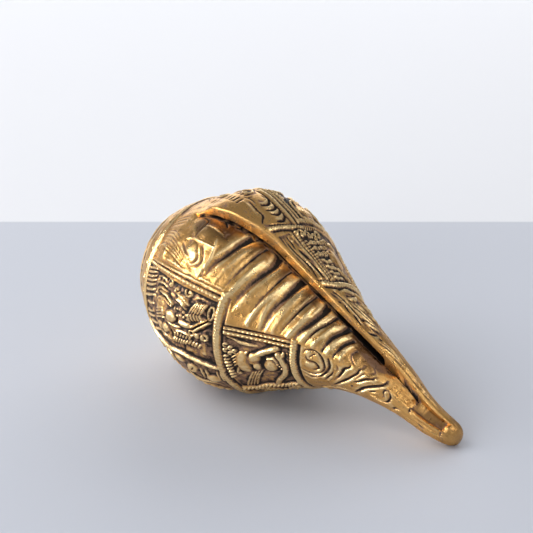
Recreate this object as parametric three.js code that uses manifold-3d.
// An ornamental conch in cast brass, made after a chank shell. It lies on its belly, with the beak
// towards +X and the aperture towards -Y, and it is one hollow casting: the whorl's free edge, the
// lip, stands over a fluted inner wall, and the slit between them opens into the hollow.
//
// The form is given by stations, in millimetres from the spire's tip along X, and by angles round
// the shell in degrees: 0 is up, 90 is -Y, 180 is down and 270 is +Y. The whorl starts at the lip's
// angle, goes down in front, under, up behind and over the top, and ends a full turn later at the lip.
// Units are millimetres, +Z is up, and the origin is under the middle of the shell on the table.
import * as THREE from 'three';
import { mergeVertices } from 'three/addons/utils/BufferGeometryUtils.js';
import Module from 'manifold-3d';

// Driving dimensions
const LENGTH = 165;
const WALL = 3;
const TABLE_LEVEL = 10;
const TIP_ROUNDING = 5.5;
const TIP_BLUNTNESS = 3;
const LEAST_RADIUS = 0.3;
const TURN = 360;

// [station, radius of the body]
const PROFILE = [
  [0, 0], [3, 4.5], [8, 11.5], [14.5, 24], [21, 29.4], [30, 34.6], [43, 40.5], [57, 43], [71, 39.8],
  [84, 32.2], [97, 24.9], [109, 18.9], [122, 13.7], [136, 9.8], [149, 6.8], [158, 5.7], [165, 5],
];
// [station, height of the centre line above the table level, its shift along Y]
const CENTRE_LINE = [
  [12, 32.2, -1.2], [52, 30.7, -1.3], [84, 26.2, 1.6], [111, 21.5, 4.2], [138, 9, 10.5],
  [152, -0.2, 13.4], [168, -7.2, 18.5],
];
// [station, angle of the lip's edge]
const LIP_ANGLE = [
  [40, 22.2], [44, 21.5], [46.5, 19.6], [51, 18.6], [57, 18.4], [79.5, 9.9], [102, 8.3], [125, 7],
  [147, 7], [158, 14],
];
// [station, thickness of the lip's edge]
const LIP_THICKNESS = [
  [44, 1.5], [46, 2], [48, 3.1], [50, 4.1], [53, 4.4], [57, 4.6], [62, 4.9], [66, 5.4], [72, 5.7],
  [80, 5.5], [94, 4.8], [105, 4], [120, 3.2], [140, 2.6],
];
// [station, how far the inner wall sinks below the body's surface at the lip]
const WALL_DIP = [
  [41, 0], [44, 1.2], [46, 1.5], [48, 1.6], [50, 1.7], [53, 1.5], [57, 1.7], [62, 2.3], [66, 3],
  [72, 3.9], [80, 3.6], [94, 2.9], [105, 2.7], [112, 3.6], [118, 4.2], [125, 4.6], [140, 4.6], [150, 3.2], [159, 2.8], [162, 0],
];
// [station, how evenly the inner wall sinks: 1 is a straight slope, less is a flat-floored trough]
const DIP_SHAPE = [
  [44, 9], [50, 8], [57, 5], [64, 3], [80, 1.4], [115, 0.95], [138, 0.7], [150, 0.3],
];
// The belly is flatter underneath than a circle, by this depth at its lowest place
const BELLY = { depth: 2.9, angle: 188, spread: 28, station: 60, reach: 24 };
// [station, how far the lip's edge stands out from the body]
const FLARE = [
  [42, 0], [44, 0.3], [46, 0.9], [48, 2.1], [50, 3.2], [53, 4.1], [57, 4.5], [62, 4.6], [67, 4.2],
  [73, 3.8], [80, 3.6], [94, 3.2], [110, 2.5], [125, 1.9], [147, 1.4], [151, 1.3], [156, 0.7],
  [161, 0],
];
const FLARE_GROWTH = 1.75;

// The ornament: raised rings round the shell, raised borders along it, and flutes on the inner wall
const RING_WIDTH = 3.6;
const BORDER_WIDTH = 3.6;
const BEVEL = 0.9;
const BORDER_HEIGHT = 0.7;
const GROUND_DEPTH = 0.3;
const SHOULDER_RING = 29;
const UPPER_ROPE = 75.9;
const LOWER_ROPE = 102.4;
const NECK_GROOVE = { station: 105.2, width: 1.9, depth: 0.8 };
// Angle of each border on the body's panels and on the panels nearer the beak. The first border
// is also the fluted wall's lower edge, and on the neck that edge moves as FLUTE_EDGE says.
const BODY_BORDERS = [62, 109, 169, 230, 290, 351];
const NECK_BORDERS = [78.5, 137, 189, 242, 296, 350.5];
const FLUTE_EDGE = [[102, 76], [107, 70], [125, 66], [135, 60], [150, 66]];
const FLUTE_VALLEYS = [68.3, 81, 86.2, 92.2, 99, 104.8, 109, 114.2, 118];
const FLUTE_CRESTS = [65, 72, 78.5, 83.6, 89, 95.6, 101.8, 106.9, 111.6, 116.1, 120];
const FLUTE_DEPTH = 1.2;
// The flutes are full from the lip to this share of the wall, and begin and end at these stations
const FLUTES = { fullTo: 0.62, start: [63, 67], end: [118, 123] };
const SUTURE = { depth: 1.1, pitch: 6.5, first: 5, width: 2, start: [3, 7], end: [17, 21] };

// Masses of the figures and scrolls in the panels, as [station, angle, half length along the shell,
// half width round it, height], all in millimetres but the angle
const MASSES = [
  [60, 38, 9, 14, 1.4], [49, 84, 9, 6, 1.5], [38, 86, 7, 9, 1.2], [69, 80, 5, 8, 1.3],
  [60, 96, 9, 4, 1.2], [63, 118, 4, 4, 1.6], [71, 124, 4, 5, 1.4], [48, 140, 8, 9, 1.4],
  [86, 106, 5, 6, 1.6], [93, 94, 6, 3, 1.5], [98, 106, 4, 5, 1.5], [100, 120, 3, 5, 1.2],
  [88, 122, 5, 5, 1.1], [55, 200, 12, 12, 1.4], [90, 214, 7, 9, 1.4], [56, 260, 12, 12, 1.4],
  [90, 269, 7, 9, 1.4], [54, 318, 12, 12, 1.4], [90, 330, 8, 7, 1.6], [48, 355, 6, 5, 1],
  [110, 90, 5, 6, 1.2], [138, 80, 3, 4, 0.8], [112, 330, 6, 8, 1.1],
];

// The aperture's slit and the hollow behind it
const SLIT = { start: 44, open: 50, close: 131, end: 135 };
const HOLLOW = { start: 17, end: 136 };
const HOLLOW_FLOOR = 2.6;
const MOUTH_REACH = 5;
const INNER_WALL_TURN = 70;
const INNER_WALL_SINK = 0.17;
const CLEARANCE = 0.2;
const RIM_FADE = 25;
const WALL_FLUTES = { start: 280, share: 0.6 };
// The casting's wall is thinner where the beak narrows below this radius, down to this share
const THIN_WALL = { radius: 12, share: 0.62 };
const INSIDE_STEPS = 26;
const WALL_STEPS = 8;
const HOLLOW_SWELLS = 9;
const HOLLOW_NARROWS = 5;

const BRASS_COLOUR = '#a9834a';

const degrees = THREE.MathUtils.radToDeg;
const radians = THREE.MathUtils.degToRad;
const clamp = THREE.MathUtils.clamp;
const smoothstep = THREE.MathUtils.smoothstep;
const lerp = THREE.MathUtils.lerp;

// Straight interpolation in a list of [place, value]
function along(list, place, column = 1) {
  if (place <= list[0][0]) return list[0][column];
  for (let i = 1; i < list.length; i += 1) {
    const [before, after] = [list[i - 1], list[i]];
    if (place <= after[0]) {
      return lerp(before[column], after[column], (place - before[0]) / (after[0] - before[0]));
    }
  }
  return list[list.length - 1][column];
}

// A smooth curve through a list of [place, value] that never swings past its points
function smoothCurve(list, column = 1) {
  const last = list.length - 1;
  const step = (i) => list[i + 1][0] - list[i][0];
  const rise = (i) => (list[i + 1][column] - list[i][column]) / step(i);
  const slopes = list.map((_, i) => {
    if (i === 0) return rise(0);
    if (i === last) return rise(last - 1);
    const [a, b] = [rise(i - 1), rise(i)];
    if (a * b <= 0) return 0;
    const [wa, wb] = [2 * step(i) + step(i - 1), step(i) + 2 * step(i - 1)];
    return (wa + wb) / (wa / a + wb / b);
  });
  return (place) => {
    const x = clamp(place, list[0][0], list[last][0]);
    let i = 0;
    while (i < last - 1 && x > list[i + 1][0]) i += 1;
    const t = (x - list[i][0]) / step(i);
    const bulge = t * t * (3 - 2 * t);
    const value = lerp(list[i][column], list[i + 1][column], bulge);
    const bend = slopes[i] * t * (1 - t) * (1 - t) - slopes[i + 1] * t * t * (1 - t);
    return value + bend * step(i);
  };
}

const profileCurve = smoothCurve(PROFILE);
const centreHeight = smoothCurve(CENTRE_LINE, 1);
const centreShift = smoothCurve(CENTRE_LINE, 2);

const flare = smoothCurve(FLARE);

const lipAngle = (station) => along(LIP_ANGLE, station);

function bodyRadius(station) {
  const nearTip = clamp((station - (LENGTH - TIP_ROUNDING)) / TIP_ROUNDING, 0, 1);
  return profileCurve(station) * (1 - nearTip ** TIP_BLUNTNESS) ** (1 / TIP_BLUNTNESS);
}


// Where the inner wall ends and the outer surface of the whorl starts
function fluteEdge(station) {
  if (station >= FLUTE_EDGE[0][0]) return along(FLUTE_EDGE, station);
  return borderAngle(0, station);
}

function borderAngle(index, station) {
  const across = smoothstep(station, UPPER_ROPE - 1, UPPER_ROPE + 1);
  return lerp(BODY_BORDERS[index], NECK_BORDERS[index], across);
}

// How far the inner wall is sunk, full at the lip and nothing at the wall's lower edge
function dip(station, angle) {
  const lip = lipAngle(station);
  const edge = fluteEdge(station);
  const share = clamp((edge - angle) / (edge - lip), 0, 1);
  return along(WALL_DIP, station) * share ** along(DIP_SHAPE, station);
}

// The smooth form without its ornament. Angles run from the lip's own to a full turn more.
function smoothRadius(station, angle) {
  const turn = clamp((angle - lipAngle(station)) / TURN, 0, 1);
  return bodyRadius(station) + flare(station) * turn ** FLARE_GROWTH - dip(station, angle);
}

// A trapezoid band: 1 on top, 0 outside, with a bevel on each side
function band(distance, width) {
  return clamp((width / 2 - Math.abs(distance)) / BEVEL, 0, 1);
}

function fluteRelief(station, angle) {
  const places = [...FLUTE_VALLEYS.map((x) => [x, 1]), ...FLUTE_CRESTS.map((x) => [x, 0])];
  places.sort((a, b) => a[0] - b[0]);
  const lip = lipAngle(station);
  const edge = fluteEdge(station);
  const low = 1 - smoothstep(angle, lerp(lip, edge, FLUTES.fullTo), edge);
  const inside = smoothstep(station, ...FLUTES.start) * (1 - smoothstep(station, ...FLUTES.end));
  return -FLUTE_DEPTH * along(places, station) * low * inside;
}

function massRelief(station, angle) {
  const radius = bodyRadius(station);
  return MASSES.reduce((height, [place, centre, halfLength, halfWidth, rise]) => {
    const across = radians(angle - centre) * radius;
    const reach = ((station - place) / halfLength) ** 2 + (across / halfWidth) ** 2;
    return Math.max(height, rise * Math.max(0, 1 - reach));
  }, 0);
}

// The whorls' seam on the spire is a groove on a spiral
function sutureRelief(station, angle) {
  const place = SUTURE.first + (SUTURE.pitch * angle) / TURN;
  const nearest = Math.abs(((station - place + SUTURE.pitch * 1.5) % SUTURE.pitch) - SUTURE.pitch / 2);
  const fade = smoothstep(station, ...SUTURE.start) * (1 - smoothstep(station, ...SUTURE.end));
  return -SUTURE.depth * clamp(1 - nearest / SUTURE.width, 0, 1) * fade;
}

function relief(station, angle) {
  if (angle < fluteEdge(station) && station > SHOULDER_RING + RING_WIDTH) {
    const scrolls = station < FLUTES.start[0] ? massRelief(station, angle) : 0;
    return fluteRelief(station, angle) + scrolls;
  }
  const radius = bodyRadius(station);
  const rings = Math.max(...[SHOULDER_RING, UPPER_ROPE, LOWER_ROPE].map(
    (place) => band(station - place, RING_WIDTH),
  ));
  const panelled = station > SHOULDER_RING && station < LOWER_ROPE ? 1 : 0;
  const borders = panelled * Math.max(...BODY_BORDERS.map(
    (_, i) => band(radians(angle - borderAngle(i, station)) * radius, BORDER_WIDTH),
  ));
  const raised = Math.max(rings, borders);
  const groove = band(station - NECK_GROOVE.station, NECK_GROOVE.width);
  const ground = panelled * (1 - raised) * -GROUND_DEPTH;
  return raised * BORDER_HEIGHT + ground - groove * NECK_GROOVE.depth
    + (1 - raised) * massRelief(station, angle) + sutureRelief(station, angle);
}

function bellyFlattening(station, angle) {
  const under = Math.exp(-(((angle - BELLY.angle) / BELLY.spread) ** 2));
  return BELLY.depth * under * Math.exp(-(((station - BELLY.station) / BELLY.reach) ** 2));
}

function place(station, angle, radius, lowest = -Infinity) {
  const turn = radians(angle);
  const y = centreShift(station) - radius * Math.sin(turn);
  const z = TABLE_LEVEL + centreHeight(station) + radius * Math.cos(turn);
  return [station - LENGTH / 2, y, Math.max(z, lowest)];
}

// A border's feet are never further than this from its middle, in degrees
const WIDEST_FOOT = 12;

// Angles of one section's points: close together at each border, and spread between them
function sectionAngles(station) {
  const lip = lipAngle(station);
  const perMillimetre = degrees(1 / Math.max(bodyRadius(station), 3));
  const foot = (BORDER_WIDTH / 2) * perMillimetre;
  const top = foot - BEVEL * perMillimetre;
  const edges = BODY_BORDERS.map((_, i) => (i === 0 ? fluteEdge(station) : borderAngle(i, station)));
  const squeeze = Math.min(1, WIDEST_FOOT / foot);
  const feet = edges.map((edge, i) => {
    const centre = i === 0 ? edge + foot * squeeze : edge;
    return [-foot, -top, top, foot].map((offset) => centre + offset * squeeze);
  });
  const angles = [lip];
  const spread = (from, to, count) => {
    for (let i = 1; i <= count; i += 1) angles.push(lerp(from, to, i / (count + 1)));
  };
  spread(lip, feet[0][0], 6);
  feet.forEach((group, i) => {
    angles.push(...group);
    const next = i < feet.length - 1 ? feet[i + 1][0] : lip + TURN;
    spread(group[3], next, i < feet.length - 1 ? 4 : 2);
  });
  angles.push(lip + TURN);
  return angles;
}

function range(from, to, count) {
  return Array.from({ length: count }, (_, i) => lerp(from, to, i / (count - 1)));
}

function ringStations(centre) {
  const half = RING_WIDTH / 2;
  return [centre - half, centre - half + BEVEL, centre + half - BEVEL, centre + half];
}

const bodyStations = [
  1, 2.5, 4.5, ...range(7, 25, 8), ...ringStations(SHOULDER_RING), ...range(34, 62, 9),
  65, 68.3, 72, ...ringStations(UPPER_ROPE), 78.5, 81, 83.6, 86.2, 89, 92.2, 95.6, 99,
  ...ringStations(LOWER_ROPE), NECK_GROOVE.station, 106.9, 109, 111.6, 114.2, 116.1, 118, 120,
  ...range(123.5, 150, 9), ...range(152, 159.5, 4), 161.5, 163, 164, 164.7,
];

function bodySection(station) {
  return sectionAngles(station).map((angle) => {
    const radius = smoothRadius(station, angle) + relief(station, angle);
    return place(station, angle, Math.max(radius - bellyFlattening(station, angle), LEAST_RADIUS));
  });
}

// One section of the hollow: inwards along the whorl's inside from the lip for a turn and more,
// round the free end of the inner wall, and back out over that wall to the slit's mouth
function hollowSection(station) {
  const open = smoothstep(station, SLIT.start, SLIT.open)
    * (1 - smoothstep(station, SLIT.close, SLIT.end));
  const start = lerp(INNER_WALL_TURN - 0.5, -MOUTH_REACH, open);
  const lip = lipAngle(station);
  const end = TURN + INNER_WALL_TURN;
  const narrow = Math.min(1, bodyRadius(station) / THIN_WALL.radius);
  const wall = WALL * lerp(THIN_WALL.share, 1, narrow);
  const swelling = Math.sqrt(clamp((station - HOLLOW.start) / HOLLOW_SWELLS, 0.02, 1))
    * Math.sqrt(clamp((HOLLOW.end - station) / HOLLOW_NARROWS, 0.05, 1));
  const wallTop = (back) => {
    if (back <= TURN) return smoothRadius(station, lip + TURN - back);
    const sink = (INNER_WALL_SINK * bodyRadius(station) * (back - TURN)) / INNER_WALL_TURN;
    return smoothRadius(station, lip) - sink;
  };
  const inside = (back) => {
    const rim = lerp(along(LIP_THICKNESS, station), wall, smoothstep(back, 0, RIM_FADE));
    const flutes = back > WALL_FLUTES.start && back <= TURN ? FLUTE_DEPTH * WALL_FLUTES.share : 0;
    return (wallTop(back) - rim - flutes) * swelling;
  };
  const points = [];
  const add = (back, radius) => {
    const flat = bellyFlattening(station, lip + TURN - back);
    points.push(place(station, lip - back, Math.max(radius - flat, LEAST_RADIUS), HOLLOW_FLOOR));
  };
  range(start, end, INSIDE_STEPS).forEach((back) => add(back, inside(Math.max(back, 0))));
  const endRadius = wallTop(end) * swelling;
  add(end + 4, lerp(inside(end), endRadius, 0.5));
  range(end, TURN + start, WALL_STEPS).forEach((back) => {
    const outside = clamp((TURN - back) / MOUTH_REACH, 0, 1);
    add(back, (wallTop(back) + CLEARANCE * outside) * (back < TURN ? 1 : swelling));
  });
  return points.reverse();
}

const hollowStations = [
  ...range(HOLLOW.start, 26, 4), 31, 36, 41, 44, 46, 48, 50, ...range(54, 131, 13), 133, 135,
  HOLLOW.end,
];

// A closed surface through sections that all have the same number of points, with a point at
// each end
function loftedGeometry(sections, firstPoint, lastPoint) {
  const size = sections[0].length;
  const positions = [...sections.flat(), firstPoint, lastPoint].flat();
  const first = sections.length * size;
  const triangles = [];
  for (let j = 0; j < size; j += 1) {
    const next = (j + 1) % size;
    triangles.push([first, next, j]);
    for (let i = 0; i < sections.length - 1; i += 1) {
      const [a, b] = [i * size + j, i * size + next];
      triangles.push([a, b, b + size], [a, b + size, a + size]);
    }
    const row = (sections.length - 1) * size;
    triangles.push([row + j, row + next, first + 1]);
  }
  const geometry = new THREE.BufferGeometry();
  geometry.setAttribute('position', new THREE.Float32BufferAttribute(positions, 3));
  geometry.setIndex(triangles.flat());
  return mergeVertices(geometry, 1e-3);
}

const wasm = await Module();
wasm.setup();

function toSolid(geometry) {
  const index = geometry.getIndex().array;
  const kept = [];
  for (let i = 0; i < index.length; i += 3) {
    const [a, b, c] = [index[i], index[i + 1], index[i + 2]];
    if (a !== b && b !== c && c !== a) kept.push(a, b, c);
  }
  const mesh = new wasm.Mesh({
    numProp: 3,
    vertProperties: geometry.getAttribute('position').array,
    triVerts: Uint32Array.from(kept),
  });
  return new wasm.Manifold(mesh);
}

function toGeometry(solid) {
  const mesh = solid.getMesh();
  const geometry = new THREE.BufferGeometry();
  geometry.setAttribute('position', new THREE.Float32BufferAttribute(mesh.vertProperties, 3));
  geometry.setIndex([...mesh.triVerts]);
  return geometry;
}

// The body, cut level with the table so that it rests on a small flat spot under the belly
function bodySolid() {
  const spireTip = place(0, 0, 0);
  const beakTip = place(LENGTH, 0, 0);
  const whole = toSolid(loftedGeometry(bodyStations.map(bodySection), spireTip, beakTip));
  const spaceAbove = new THREE.BoxGeometry(LENGTH * 2, LENGTH * 2, LENGTH * 2);
  spaceAbove.deleteAttribute('normal');
  spaceAbove.deleteAttribute('uv');
  spaceAbove.translate(0, 0, LENGTH);
  return whole.intersect(toSolid(mergeVertices(spaceAbove)));
}

function hollowSolid() {
  const first = place(HOLLOW.start - 0.5, 0, 0);
  const last = place(HOLLOW.end + 0.5, 0, 0);
  return toSolid(loftedGeometry(hollowStations.map(hollowSection), first, last));
}

const brass = new THREE.MeshStandardMaterial({
  color: BRASS_COLOUR,
  roughness: 0.35,
  metalness: 1,
});

const shell = new THREE.Mesh(toGeometry(bodySolid().subtract(hollowSolid())), brass);
shell.name = 'conch_casting';

const group = new THREE.Group();
group.add(shell);

export default group;
